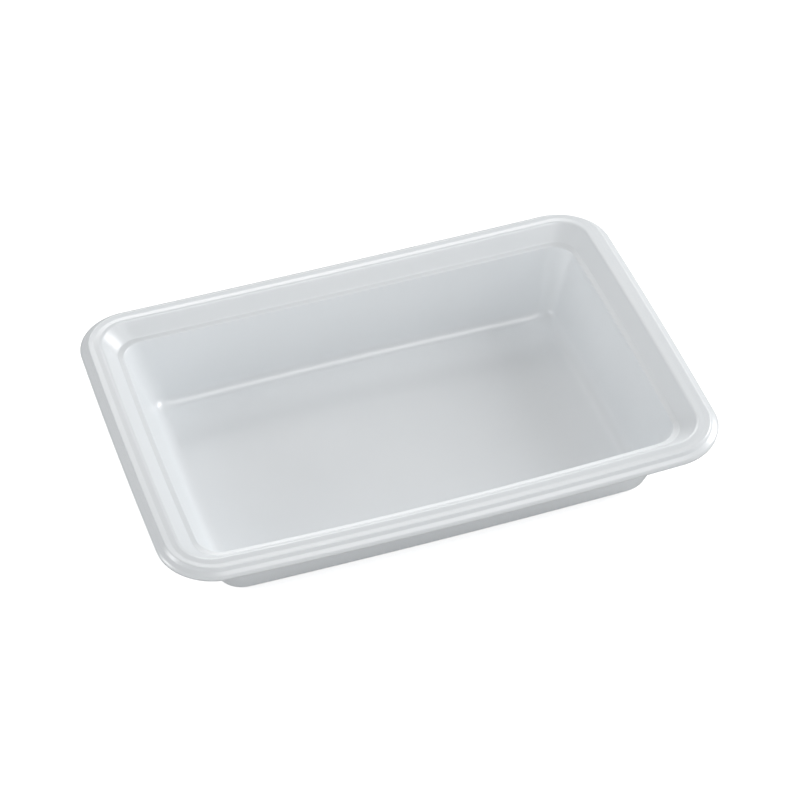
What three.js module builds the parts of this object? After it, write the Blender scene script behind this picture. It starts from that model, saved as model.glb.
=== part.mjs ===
// Disposable bento container: one tray thermoformed from a single sheet of white foam plastic.
// Millimetres, +Z up. The origin lies on the table, under the middle of the floor.
import * as THREE from 'three';

// Overall sizes
const LENGTH = 218.1;         // over the lip, along X, at the middle of the short sides
const WIDTH = 153.1;          // over the lip, along Y, at the middle of the long sides
const HEIGHT = 35.9;          // table to the crest of the rim at its corners, before rounding
const SHEET = 2.0;            // foam sheet, in the walls and the floor
const END_BOW = 0.95;         // how far the middle of a short side arches out
const SIDE_BOW = 1.1;         // the same for a long side
const RIM_DIP = 1.8;          // how far the rim hangs lower at the middle of a long side

// Rim, read outward from its crest: reach is along the plan, drop is below the crest
const RIM_REACH = 8.1;        // crest to the outermost edge of the lip
const GROOVE_REACH = 2.6;     // shallow groove between crest and bead
const GROOVE_DROP = 0.35;
const GROOVE_ROUND = 2.0;
const BEAD_REACH = 4.8;       // bead that a lid closes over
const BEAD_DROP = 0.1;
const BEAD_ROUND = 0.7;
const SNAP_REACH = 5.7;       // foot of the steep face outside the bead
const SNAP_DROP = 1.4;
const SNAP_ROUND = 0.4;
const LIP_DROP = 2.7;         // upper edge of the turned-down lip
const LIP_EDGE = 1.1;         // thickness that is left at the trimmed edge
const RIM_UNDER_DROP = 2.4;   // flat underside of the rim behind the bead
const RIM_UNDER_REACH = 4.1;  // where that underside turns down to the lip
const CREST_ROUND = 1.8;

// Inner wall, read inward from the crest
const LEDGE_REACH = 5.5;      // outer edge of the narrow ledge that runs round inside the wall
const LEDGE_DROP = 5.45;
const STEP_REACH = 7.6;       // inner edge of that ledge
const STEP_DROP = 5.9;
const STEP_SET = 0.5;         // how far the face under the ledge leans in
const STEP_FACE = 2.0;        // height of that face
const LEDGE_ROUND = 0.9;
const STEP_ROUND = 0.7;
const FACE_ROUND = 6.0;
const FLOOR_REACH = 15.5;     // crest to the edge of the floor on a long side, before rounding
const FLOOR_REACH_END = 18.05; // the same on a short side, whose wall leans more
const FLOOR_FILLET = 5.5;     // wall into floor, inside
const BASE_FILLET = 5.2;      // wall into base, outside
const RIM_FILLET = 2.6;       // outer wall into the slope under the rim

// Corner radii in plan, of the upper side of the sheet
const LIP_CORNER = 20.8;
const CREST_CORNER = 12.0;
const STEP_CORNER = 8.8;
const FLOOR_CORNER = 6.5;

// Facets
const CORNER_FACETS = 8;
const SIDE_FACETS = 8;
const ARC_STEP = 18;          // degrees of a profile arc that one facet spans

const halfX = LENGTH / 2 - END_BOW - RIM_REACH;
const halfY = WIDTH / 2 - SIDE_BOW - RIM_REACH;

const rad = THREE.MathUtils.degToRad;

// Point [d, z]: d is the offset outward from the crest line, z the height above the table.
function at(reach, drop) {
  return new THREE.Vector2(reach, HEIGHT - drop);
}

// The crossing of line ab with line cd.
function crossing(a, b, c, d) {
  const u = b.clone().sub(a);
  const v = d.clone().sub(c);
  const t = c.clone().sub(a).cross(v) / u.cross(v);
  return a.clone().addScaledVector(u, t);
}

// Line ab moved sideways by the sheet, to the right of its direction.
function underLine(a, b) {
  const u = b.clone().sub(a).normalize();
  const side = new THREE.Vector2(u.y, -u.x).multiplyScalar(SHEET);
  return [a.clone().add(side), b.clone().add(side)];
}

// Corner points with a rounding each, turned into one run of points.
function rounded(corners) {
  const path = [];
  corners.forEach(([p, radius], i) => {
    if (!radius) {
      path.push(p.clone());
      return;
    }
    const u = corners[i - 1][0].clone().sub(p).normalize();
    const v = corners[i + 1][0].clone().sub(p).normalize();
    const half = Math.acos(THREE.MathUtils.clamp(u.dot(v), -1, 1)) / 2;
    const cut = radius / Math.tan(half);
    const middle = u.clone().add(v).normalize().multiplyScalar(radius / Math.sin(half)).add(p);
    const start = p.clone().addScaledVector(u, cut).sub(middle);
    const end = p.clone().addScaledVector(v, cut).sub(middle);
    const turn = Math.atan2(start.cross(end), start.dot(end));
    const facets = Math.max(1, Math.ceil(Math.abs(turn) / rad(ARC_STEP)));
    for (let k = 0; k <= facets; k += 1) {
      const spoke = start.clone().rotateAround(new THREE.Vector2(), (turn * k) / facets);
      path.push(spoke.add(middle));
    }
  });
  return path;
}

// Section of the sheet: its upper side from the floor out to the lip, and its underside back.
function section() {
  const floorEdge = at(-FLOOR_REACH, HEIGHT - SHEET);
  const floorMid = at(-FLOOR_REACH - 2 * FLOOR_FILLET, HEIGHT - SHEET);
  const stepFoot = at(-STEP_REACH - STEP_SET, STEP_DROP + STEP_FACE);
  const ledge = at(-LEDGE_REACH, LEDGE_DROP);
  const crest = at(0, 0);
  const upper = rounded([
    [floorMid, 0],
    [floorEdge, FLOOR_FILLET],
    [stepFoot, FACE_ROUND],
    [at(-STEP_REACH, STEP_DROP), STEP_ROUND],
    [ledge, LEDGE_ROUND],
    [crest, CREST_ROUND],
    [at(GROOVE_REACH, GROOVE_DROP), GROOVE_ROUND],
    [at(BEAD_REACH, BEAD_DROP), BEAD_ROUND],
    [at(SNAP_REACH, SNAP_DROP), SNAP_ROUND],
    [at(RIM_REACH, LIP_DROP), 0],
  ]);
  const wall = underLine(floorEdge, stepFoot);
  const slope = underLine(ledge, crest);
  const table = [at(-FLOOR_REACH, HEIGHT), at(0, HEIGHT)];
  const flat = [at(-1, RIM_UNDER_DROP), at(1, RIM_UNDER_DROP)];
  const under = rounded([
    [at(RIM_REACH - LIP_EDGE / 4, LIP_DROP + LIP_EDGE), 0],
    [at(RIM_UNDER_REACH, RIM_UNDER_DROP), BEAD_ROUND],
    [crossing(...slope, ...flat), CREST_ROUND],
    [crossing(...wall, ...slope), RIM_FILLET],
    [crossing(...wall, ...table), BASE_FILLET],
    [at(-FLOOR_REACH - 2 * FLOOR_FILLET, HEIGHT), 0],
  ]);
  return { upper: upper.slice(1), under: under.slice(0, -1) };
}

// How much further in a short side's wall stands than a long side's at height z.
function endLean(z) {
  const stepFoot = HEIGHT - STEP_DROP - STEP_FACE;
  const depth = THREE.MathUtils.inverseLerp(stepFoot, SHEET, z);
  return (FLOOR_REACH_END - FLOOR_REACH) * Math.max(depth, 0);
}

// Corner radius of the sheet's upper side, d outside the crest line.
function cornerAt(d) {
  const stops = [
    [-FLOOR_REACH, FLOOR_CORNER],
    [-STEP_REACH, STEP_CORNER],
    [0, CREST_CORNER],
    [RIM_REACH, LIP_CORNER],
  ];
  if (d <= stops[0][0]) return FLOOR_CORNER;
  const next = stops.findIndex(([reach]) => d <= reach + 1e-9);
  const [d0, r0] = stops[next - 1];
  const [d1, r1] = stops[next];
  return THREE.MathUtils.mapLinear(d, d0, d1, r0, r1);
}

// The sides arch out, and the rim of the long sides hangs, most at the middle of a side.
function arched([x, y, z], a, b) {
  const alongX = (1 - (x / a) ** 2) * Math.abs(y / b) ** 3;
  const alongY = (1 - (y / b) ** 2) * Math.abs(x / a) ** 3;
  const rise = Math.max(z - SHEET, 0) / (HEIGHT - SHEET);
  return [
    x + Math.sign(x) * END_BOW * alongY,
    y + Math.sign(y) * SIDE_BOW * alongX,
    z - RIM_DIP * rise * alongX,
  ];
}

// Closed outline at offset d and height z, with corner radius r.
function outline(d, z, r) {
  const a = halfX + d - endLean(z);
  const b = halfY + d;
  const corners = [[1, 1], [-1, 1], [-1, -1], [1, -1]];
  const ring = [];
  corners.forEach(([sx, sy], q) => {
    for (let k = 0; k <= CORNER_FACETS; k += 1) {
      const angle = rad(90) * (q + k / CORNER_FACETS);
      ring.push([sx * (a - r) + r * Math.cos(angle), sy * (b - r) + r * Math.sin(angle), z]);
    }
    const [tx, ty] = corners[(q + 1) % 4];
    for (let k = 1; k < SIDE_FACETS; k += 1) {
      const x = THREE.MathUtils.lerp(sx, tx, k / SIDE_FACETS) * (sy === ty ? a - r : a);
      const y = THREE.MathUtils.lerp(sy, ty, k / SIDE_FACETS) * (sy === ty ? b : b - r);
      ring.push([x, y, z]);
    }
  });
  return ring.map((p) => arched(p, a, b));
}

// Shell: the outlines are joined one to the next, and the floor and the base close it.
function shell() {
  const { upper, under } = section();
  const rings = [
    ...upper.map(({ x, y }) => outline(x, y, cornerAt(x))),
    ...under.map(({ x, y }) => outline(x, y, cornerAt(x - SHEET) + SHEET)),
  ];
  const n = rings[0].length;
  const position = rings.flat(2);
  const index = [];
  for (let i = 0; i + 1 < rings.length; i += 1) {
    for (let k = 0; k < n; k += 1) {
      const p = i * n + k;
      const q = i * n + ((k + 1) % n);
      index.push(p, q + n, q, p, p + n, q + n);
    }
  }
  const cap = (ring, flip) => {
    const flat = rings[ring].map(([x, y]) => new THREE.Vector2(x, y));
    THREE.ShapeUtils.triangulateShape(flat, []).forEach(([p, q, s]) => {
      const face = flip ? [p, s, q] : [p, q, s];
      index.push(...face.map((v) => v + ring * n));
    });
  };
  cap(0, false);
  cap(rings.length - 1, true);
  const geometry = new THREE.BufferGeometry();
  geometry.setAttribute('position', new THREE.Float32BufferAttribute(position, 3));
  geometry.setIndex(index);
  geometry.computeVertexNormals();
  return geometry;
}

const foam = new THREE.MeshStandardMaterial({ color: 0xeef1f3, roughness: 0.42, metalness: 0 });

const tray = new THREE.Mesh(shell(), foam);
tray.name = 'tray';

const container = new THREE.Group();
container.name = 'bento_container';
container.add(tray);

export default container;
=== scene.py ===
import math

import bmesh
import bpy
from mathutils import Matrix, Vector


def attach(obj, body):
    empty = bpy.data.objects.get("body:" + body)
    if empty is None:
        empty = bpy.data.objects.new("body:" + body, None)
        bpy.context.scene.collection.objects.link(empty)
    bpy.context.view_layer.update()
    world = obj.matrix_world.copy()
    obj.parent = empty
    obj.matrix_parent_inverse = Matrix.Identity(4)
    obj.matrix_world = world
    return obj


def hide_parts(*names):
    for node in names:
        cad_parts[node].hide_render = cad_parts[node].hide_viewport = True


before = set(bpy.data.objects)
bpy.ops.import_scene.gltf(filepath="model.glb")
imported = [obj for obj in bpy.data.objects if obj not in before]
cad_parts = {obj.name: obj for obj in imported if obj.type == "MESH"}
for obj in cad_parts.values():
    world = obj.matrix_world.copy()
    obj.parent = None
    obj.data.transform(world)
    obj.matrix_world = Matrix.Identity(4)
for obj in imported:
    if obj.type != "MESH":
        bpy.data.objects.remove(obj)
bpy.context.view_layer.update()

# Disposable bento container: one tray thermoformed from a single sheet of white foam plastic.
# The tray's sizes are in millimetres. What follows them is in metres, degrees and watts, unless its
# name ends in another unit.
MM = 0.001

# Overall sizes, as in the part's source
LENGTH = 218.1            # over the lip, along X, at the middle of the short sides
WIDTH = 153.1             # over the lip, along Y, at the middle of the long sides
HEIGHT = 35.88            # 0.02 less than in the source, so that the finer facets stay in the CAD box
SHEET = 2.0               # foam sheet, in the walls and the floor
END_BOW = 0.95            # how far the middle of a short side arches out
SIDE_BOW = 1.1            # the same for a long side
RIM_DIP = 1.8             # how far the rim hangs lower at the middle of a long side

# Rim, read outward from its crest: reach is along the plan, drop is below the crest
RIM_REACH = 8.1           # crest to the outermost edge of the lip
GROOVE_REACH = 2.6        # shallow groove between crest and bead
GROOVE_DROP = 0.35
GROOVE_ROUND = 2.0
BEAD_REACH = 4.8          # bead that a lid closes over
BEAD_DROP = 0.1
BEAD_ROUND = 0.7
SNAP_REACH = 5.7          # foot of the steep face outside the bead
SNAP_DROP = 1.4
SNAP_ROUND = 0.4
LIP_DROP = 2.7            # upper edge of the turned-down lip
LIP_EDGE = 1.1            # thickness that is left at the trimmed edge
RIM_UNDER_DROP = 2.4      # flat underside of the rim behind the bead
RIM_UNDER_REACH = 4.1     # where that underside turns down to the lip
CREST_ROUND = 1.8

# Inner wall, read inward from the crest
LEDGE_REACH = 5.5         # outer edge of the narrow ledge that runs round inside the wall
LEDGE_DROP = 5.45
LEDGE_ROUND = 0.9
STEP_REACH = 7.6          # inner edge of that ledge
STEP_DROP = 5.9
STEP_ROUND = 0.7
STEP_SET = 0.5            # how far the face under the ledge leans in
STEP_FACE = 2.0           # height of that face
FACE_ROUND = 6.0
FLOOR_REACH = 15.5        # crest to the edge of the floor on a long side, before rounding
FLOOR_REACH_END = 18.05   # the same on a short side, whose wall leans more
FLOOR_FILLET = 5.5        # wall into floor, inside
BASE_FILLET = 5.2         # wall into base, outside
RIM_FILLET = 2.6          # outer wall into the slope under the rim

# Corner radii in plan, of the upper side of the sheet
LIP_CORNER = 20.8
CREST_CORNER = 12.0
STEP_CORNER = 8.8
FLOOR_CORNER = 6.5

# Facets, finer than in the part's source
CORNER_FACETS = 26
SIDE_FACETS = 24
ARC_STEP = 5.0            # degrees of a profile arc that one facet spans
ARC_FACETS_LEAST = 2
LONGEST_FACET = 2.4       # along the profile

HALF_X = LENGTH / 2 - END_BOW - RIM_REACH
HALF_Y = WIDTH / 2 - SIDE_BOW - RIM_REACH

# Foam: linear colours, and texture scales per metre
FOAM_DARKER = (0.818, 0.848, 0.870, 1)
FOAM_LIGHTER = (0.838, 0.866, 0.886, 1)
TONE_SCALE = 22.0         # drift of tone across the sheet
TONE_SPAN = (0.3, 0.7)    # stretch of the noise that the two colours cover
CELL_SCALE = 1500.0       # cells of the foam under its skin
GRAIN_SCALE = 700.0
GRAIN_STRENGTH = 0.05
GRAIN_DEPTH = 0.00005
SWELL_SCALE = 35.0        # faint unevenness of the sheet
SWELL_STRENGTH = 0.15
SWELL_DEPTH = 0.0008
ROUGHNESS_SPAN = (0.30, 0.36)
FOAM_IOR = 1.6
FOAM_SPECULAR = 1.0

# Studio
WHITE = (1, 1, 1, 1)
STAGE_HALF = 6.0                      # half the side of the floor
STAGE_DROP = 0.0002                   # gap under the base, so that the two faces never coincide
STAGE_SEEN = (0.9, 0.9, 0.9, 1)       # floor as the camera sees it
STAGE_GLOW = 0.66                     # added to that, so that only the shadow is darker than white
STAGE_BOUNCE = (0.62, 0.62, 0.62, 1)  # floor as it lights the tray
WORLD_LIGHT = 0.24
WORLD_SEEN = 1.0

# Soft boxes aimed at the origin. Azimuth runs from the front (-Y) to the right (+X).
# The front one gives no reflection of itself, so the near side of the rim stays soft.
SOFT_BOXES = {
    "top": dict(azimuth=50, elevation=74, distance=1.1, size=0.6, power=2.3),
    "right": dict(azimuth=98, elevation=24, distance=1.2, size=0.6, power=7.7),
    "back": dict(azimuth=174, elevation=25, distance=1.5, size=0.9, power=5.4),
    "front": dict(azimuth=-8, elevation=12, distance=1.3, size=0.7, power=5.6, reflected=False),
    "left": dict(azimuth=258, elevation=18, distance=1.3, size=0.6, power=4.4),
}

# Camera, solved from the outlines of the rim in the photo
CAMERA_AZIMUTH = -17.6311
CAMERA_ELEVATION = 43.0266
CAMERA_ROLL = -1.3259
CAMERA_DISTANCE = 1.14202             # from the middle of the mouth, in the plane of the crest
CREST_HEIGHT = 0.0358
MOVED_RIGHT = 0.0022016               # from there in the picture's plane, to frame as the photo does
MOVED_UP = -0.0077027
FOCAL_PX = 3012.12
IMAGE_PX = 800
SENSOR_WIDTH_MM = 36


# Point of the section: x is the offset outward from the crest line, y the height above the table.
def at(reach, drop):
    return Vector((reach, HEIGHT - drop))


# The crossing of line ab with line cd.
def crossing(a, b, c, d):
    u = b - a
    v = d - c
    t = (c - a).cross(v) / u.cross(v)
    return a + u * t


# Line ab moved sideways by the sheet, to the right of its direction.
def under_line(a, b):
    u = (b - a).normalized()
    side = Vector((u.y, -u.x)) * SHEET
    return a + side, b + side


# Corner points with a rounding each, turned into one run of points.
def rounded(corners):
    path = []
    for i, (p, radius) in enumerate(corners):
        if not radius:
            path.append(p.copy())
            continue
        u = (corners[i - 1][0] - p).normalized()
        v = (corners[i + 1][0] - p).normalized()
        half = math.acos(max(-1, min(1, u.dot(v)))) / 2
        cut = radius / math.tan(half)
        middle = (u + v).normalized() * (radius / math.sin(half)) + p
        start = p + u * cut - middle
        end = p + v * cut - middle
        turn = math.atan2(start.cross(end), start.dot(end))
        facets = max(ARC_FACETS_LEAST, math.ceil(abs(math.degrees(turn)) / ARC_STEP))
        for k in range(facets + 1):
            angle = turn * k / facets
            c = math.cos(angle)
            s = math.sin(angle)
            spoke = Vector((start.x * c - start.y * s, start.x * s + start.y * c))
            path.append(spoke + middle)
    return path


# The same run with its long stretches divided.
def refined(run):
    fine = []
    for p, q in zip(run, run[1:]):
        parts = max(1, math.ceil((q - p).length / LONGEST_FACET))
        fine += [p.lerp(q, k / parts) for k in range(parts)]
    return fine + [run[-1]]


# Section of the sheet: its upper side from the floor out to the lip, and its underside back.
def section():
    floor_edge = at(-FLOOR_REACH, HEIGHT - SHEET)
    floor_mid = at(-FLOOR_REACH - 2 * FLOOR_FILLET, HEIGHT - SHEET)
    step_foot = at(-STEP_REACH - STEP_SET, STEP_DROP + STEP_FACE)
    ledge = at(-LEDGE_REACH, LEDGE_DROP)
    crest = at(0, 0)
    upper = rounded([
        (floor_mid, 0),
        (floor_edge, FLOOR_FILLET),
        (step_foot, FACE_ROUND),
        (at(-STEP_REACH, STEP_DROP), STEP_ROUND),
        (ledge, LEDGE_ROUND),
        (crest, CREST_ROUND),
        (at(GROOVE_REACH, GROOVE_DROP), GROOVE_ROUND),
        (at(BEAD_REACH, BEAD_DROP), BEAD_ROUND),
        (at(SNAP_REACH, SNAP_DROP), SNAP_ROUND),
        (at(RIM_REACH, LIP_DROP), 0),
    ])
    wall = under_line(floor_edge, step_foot)
    slope = under_line(ledge, crest)
    table = (at(-FLOOR_REACH, HEIGHT), at(0, HEIGHT))
    flat = (at(-1, RIM_UNDER_DROP), at(1, RIM_UNDER_DROP))
    under = rounded([
        (at(RIM_REACH - LIP_EDGE / 4, LIP_DROP + LIP_EDGE), 0),
        (at(RIM_UNDER_REACH, RIM_UNDER_DROP), BEAD_ROUND),
        (crossing(*slope, *flat), CREST_ROUND),
        (crossing(*wall, *slope), RIM_FILLET),
        (crossing(*wall, *table), BASE_FILLET),
        (at(-FLOOR_REACH - 2 * FLOOR_FILLET, HEIGHT), 0),
    ])
    return refined(upper[1:]), refined(under[:-1])


# How much further in a short side's wall stands than a long side's at height z.
def end_lean(z):
    step_foot = HEIGHT - STEP_DROP - STEP_FACE
    depth = (z - step_foot) / (SHEET - step_foot)
    return (FLOOR_REACH_END - FLOOR_REACH) * max(depth, 0)


# Corner radius of the sheet's upper side, d outside the crest line.
def corner_at(d):
    stops = [
        (-FLOOR_REACH, FLOOR_CORNER),
        (-STEP_REACH, STEP_CORNER),
        (0, CREST_CORNER),
        (RIM_REACH, LIP_CORNER),
    ]
    for (d0, r0), (d1, r1) in zip(stops, stops[1:]):
        if d <= d1:
            return r0 + (r1 - r0) * max(d - d0, 0) / (d1 - d0)
    return LIP_CORNER


# The sides arch out, and the rim of the long sides hangs, most at the middle of a side.
def arched(x, y, z, a, b):
    along_x = (1 - (x / a) ** 2) * abs(y / b) ** 3
    along_y = (1 - (y / b) ** 2) * abs(x / a) ** 3
    rise = max(z - SHEET, 0) / (HEIGHT - SHEET)
    return (
        x + math.copysign(END_BOW * along_y, x),
        y + math.copysign(SIDE_BOW * along_x, y),
        z - RIM_DIP * rise * along_x,
    )


# Closed outline at offset d and height z, with corner radius r.
def outline(d, z, r):
    a = HALF_X + d - end_lean(z)
    b = HALF_Y + d
    corners = [(1, 1), (-1, 1), (-1, -1), (1, -1)]
    ring = []
    for quarter, (sx, sy) in enumerate(corners):
        for k in range(CORNER_FACETS + 1):
            angle = math.radians(90) * (quarter + k / CORNER_FACETS)
            x = sx * (a - r) + r * math.cos(angle)
            y = sy * (b - r) + r * math.sin(angle)
            ring.append((x, y))
        tx, ty = corners[(quarter + 1) % len(corners)]
        for k in range(1, SIDE_FACETS):
            share = k / SIDE_FACETS
            x = (sx + (tx - sx) * share) * (a - r if sy == ty else a)
            y = (sy + (ty - sy) * share) * (b if sy == ty else b - r)
            ring.append((x, y))
    return [arched(x, y, z, a, b) for x, y in ring]


# New object in the scene.
def placed(name, data):
    item = bpy.data.objects.new(name, data)
    bpy.context.scene.collection.objects.link(item)
    return item


# Shell: the outlines are joined one to the next, and the floor and the base close it.
def build_tray():
    upper, under = section()
    rings = [outline(p.x, p.y, corner_at(p.x)) for p in upper]
    rings += [outline(p.x, p.y, corner_at(p.x - SHEET) + SHEET) for p in under]
    skin = bmesh.new()
    rows = [[skin.verts.new((x * MM, y * MM, z * MM)) for x, y, z in ring] for ring in rings]
    for row, after in zip(rows, rows[1:]):
        for k in range(len(row)):
            m = (k + 1) % len(row)
            skin.faces.new((row[k], after[k], after[m], row[m]))
    flats = [skin.faces.new(rows[0]), skin.faces.new(rows[-1][::-1])]
    bmesh.ops.recalc_face_normals(skin, faces=skin.faces)
    for face in skin.faces:
        face.smooth = face not in flats
    mesh = bpy.data.meshes.new("tray_skin")
    skin.to_mesh(mesh)
    skin.free()
    return placed("tray_skin", mesh)


# New node, with its inputs or its settings given by name.
def node(tree, kind, **values):
    made = tree.nodes.new(kind)
    for key, value in values.items():
        if key in made.inputs:
            made.inputs[key].default_value = value
        else:
            setattr(made, key, value)
    return made


# Material or world with an empty node tree.
def emptied(block):
    block.use_nodes = True
    block.node_tree.nodes.clear()
    return block


# Mixes two shaders in a tree, the second one for camera rays, and leads them to the output.
def split_by_camera(tree, kind, unseen, seen):
    path = node(tree, "ShaderNodeLightPath")
    mix = node(tree, "ShaderNodeMixShader")
    output = node(tree, kind)
    tree.links.new(path.outputs["Is Camera Ray"], mix.inputs[0])
    tree.links.new(unseen.outputs[0], mix.inputs[1])
    tree.links.new(seen.outputs[0], mix.inputs[2])
    tree.links.new(mix.outputs[0], output.inputs["Surface"])


# White foamed polystyrene with a satin skin.
def foam_material():
    material = emptied(bpy.data.materials.new("foam_sheet"))
    tree = material.node_tree
    link = tree.links.new
    output = node(tree, "ShaderNodeOutputMaterial")
    shader = node(tree, "ShaderNodeBsdfPrincipled", IOR=FOAM_IOR)
    shader.inputs["Specular IOR Level"].default_value = FOAM_SPECULAR
    link(shader.outputs["BSDF"], output.inputs["Surface"])
    place = node(tree, "ShaderNodeTexCoord").outputs["Object"]

    # Slow drift of tone across the sheet
    drift = node(tree, "ShaderNodeTexNoise", Scale=TONE_SCALE, Detail=2.0)
    link(place, drift.inputs["Vector"])
    tone = node(tree, "ShaderNodeValToRGB")
    for stop, position, color in zip(tone.color_ramp.elements, TONE_SPAN, (FOAM_DARKER, FOAM_LIGHTER)):
        stop.position = position
        stop.color = color
    link(drift.outputs["Fac"], tone.inputs["Fac"])
    link(tone.outputs["Color"], shader.inputs["Base Color"])

    # Cells of the foam under its skin
    cells = node(tree, "ShaderNodeTexVoronoi", Scale=CELL_SCALE)
    link(place, cells.inputs["Vector"])
    grain = node(tree, "ShaderNodeTexNoise", Scale=GRAIN_SCALE, Detail=3.0)
    link(place, grain.inputs["Vector"])
    both = node(tree, "ShaderNodeMath", operation="ADD")
    link(cells.outputs["Distance"], both.inputs[0])
    link(grain.outputs["Fac"], both.inputs[1])
    bump = node(tree, "ShaderNodeBump", Strength=GRAIN_STRENGTH, Distance=GRAIN_DEPTH)
    link(both.outputs[0], bump.inputs["Height"])

    # Faint swell of the sheet
    wave = node(tree, "ShaderNodeTexNoise", Scale=SWELL_SCALE, Detail=1.0)
    link(place, wave.inputs["Vector"])
    swell = node(tree, "ShaderNodeBump", Strength=SWELL_STRENGTH, Distance=SWELL_DEPTH)
    link(wave.outputs["Fac"], swell.inputs["Height"])
    link(bump.outputs["Normal"], swell.inputs["Normal"])
    link(swell.outputs["Normal"], shader.inputs["Normal"])

    # Roughness follows the grain
    rough = node(tree, "ShaderNodeMapRange")
    rough.inputs["To Min"].default_value, rough.inputs["To Max"].default_value = ROUGHNESS_SPAN
    link(grain.outputs["Fac"], rough.inputs["Value"])
    link(rough.outputs["Result"], shader.inputs["Roughness"])
    return material


# Floor that the camera sees as white outside the shadow.
def stage_material():
    material = emptied(bpy.data.materials.new("studio_floor"))
    tree = material.node_tree
    bounce = node(tree, "ShaderNodeBsdfDiffuse", Color=STAGE_BOUNCE)
    plain = node(tree, "ShaderNodeBsdfDiffuse", Color=STAGE_SEEN)
    glow = node(tree, "ShaderNodeEmission", Color=WHITE, Strength=STAGE_GLOW)
    lit = node(tree, "ShaderNodeAddShader")
    tree.links.new(plain.outputs[0], lit.inputs[0])
    tree.links.new(glow.outputs[0], lit.inputs[1])
    split_by_camera(tree, "ShaderNodeOutputMaterial", bounce, lit)
    return material


def studio_floor():
    corners = [(-1, -1), (1, -1), (1, 1), (-1, 1)]
    mesh = bpy.data.meshes.new("studio_floor")
    mesh.from_pydata([(x * STAGE_HALF, y * STAGE_HALF, 0) for x, y in corners], [], [(0, 1, 2, 3)])
    mesh.materials.append(stage_material())
    plane = placed("studio_floor", mesh)
    plane.location.z = -STAGE_DROP
    return plane


# Soft light from all round, behind a backdrop that the camera sees as white.
def studio_world():
    world = emptied(bpy.data.worlds.new("studio"))
    light = node(world.node_tree, "ShaderNodeBackground", Color=WHITE, Strength=WORLD_LIGHT)
    backdrop = node(world.node_tree, "ShaderNodeBackground", Color=WHITE, Strength=WORLD_SEEN)
    split_by_camera(world.node_tree, "ShaderNodeOutputWorld", light, backdrop)
    return world


# Unit vector from the origin towards a place in the studio.
def direction(azimuth, elevation):
    a = math.radians(azimuth)
    e = math.radians(elevation)
    return Vector((math.sin(a) * math.cos(e), -math.cos(a) * math.cos(e), math.sin(e)))


def soft_box(name, azimuth, elevation, distance, size, power, reflected=True):
    light = bpy.data.lights.new(name, "AREA")
    light.shape = "DISK"
    light.size = size
    light.energy = power
    outward = direction(azimuth, elevation)
    lamp = placed(name, light)
    lamp.location = outward * distance
    lamp.rotation_euler = outward.to_track_quat("Z", "Y").to_euler()
    lamp.visible_glossy = reflected


def photo_camera():
    outward = direction(CAMERA_AZIMUTH, CAMERA_ELEVATION)
    level = direction(CAMERA_AZIMUTH + 90, 0)
    upright = outward.cross(level)
    roll = math.radians(CAMERA_ROLL)
    right = math.cos(roll) * level + math.sin(roll) * upright
    up = math.cos(roll) * upright - math.sin(roll) * level
    lens = bpy.data.cameras.new("camera")
    lens.sensor_width = SENSOR_WIDTH_MM
    lens.lens = FOCAL_PX / IMAGE_PX * SENSOR_WIDTH_MM
    camera = placed("camera", lens)
    camera.matrix_world = Matrix((right, up, outward)).transposed().to_4x4()
    mouth = Vector((0, 0, CREST_HEIGHT))
    camera.location = mouth + outward * CAMERA_DISTANCE + right * MOVED_RIGHT + up * MOVED_UP
    return camera


tray = build_tray()
tray.data.materials.append(foam_material())
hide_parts("tray")
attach(tray, "root")

floor = studio_floor()
for name, values in SOFT_BOXES.items():
    soft_box(name, **values)
bpy.context.scene.world = studio_world()
bpy.context.scene.camera = photo_camera()
bpy.context.scene.view_settings.view_transform = "Standard"
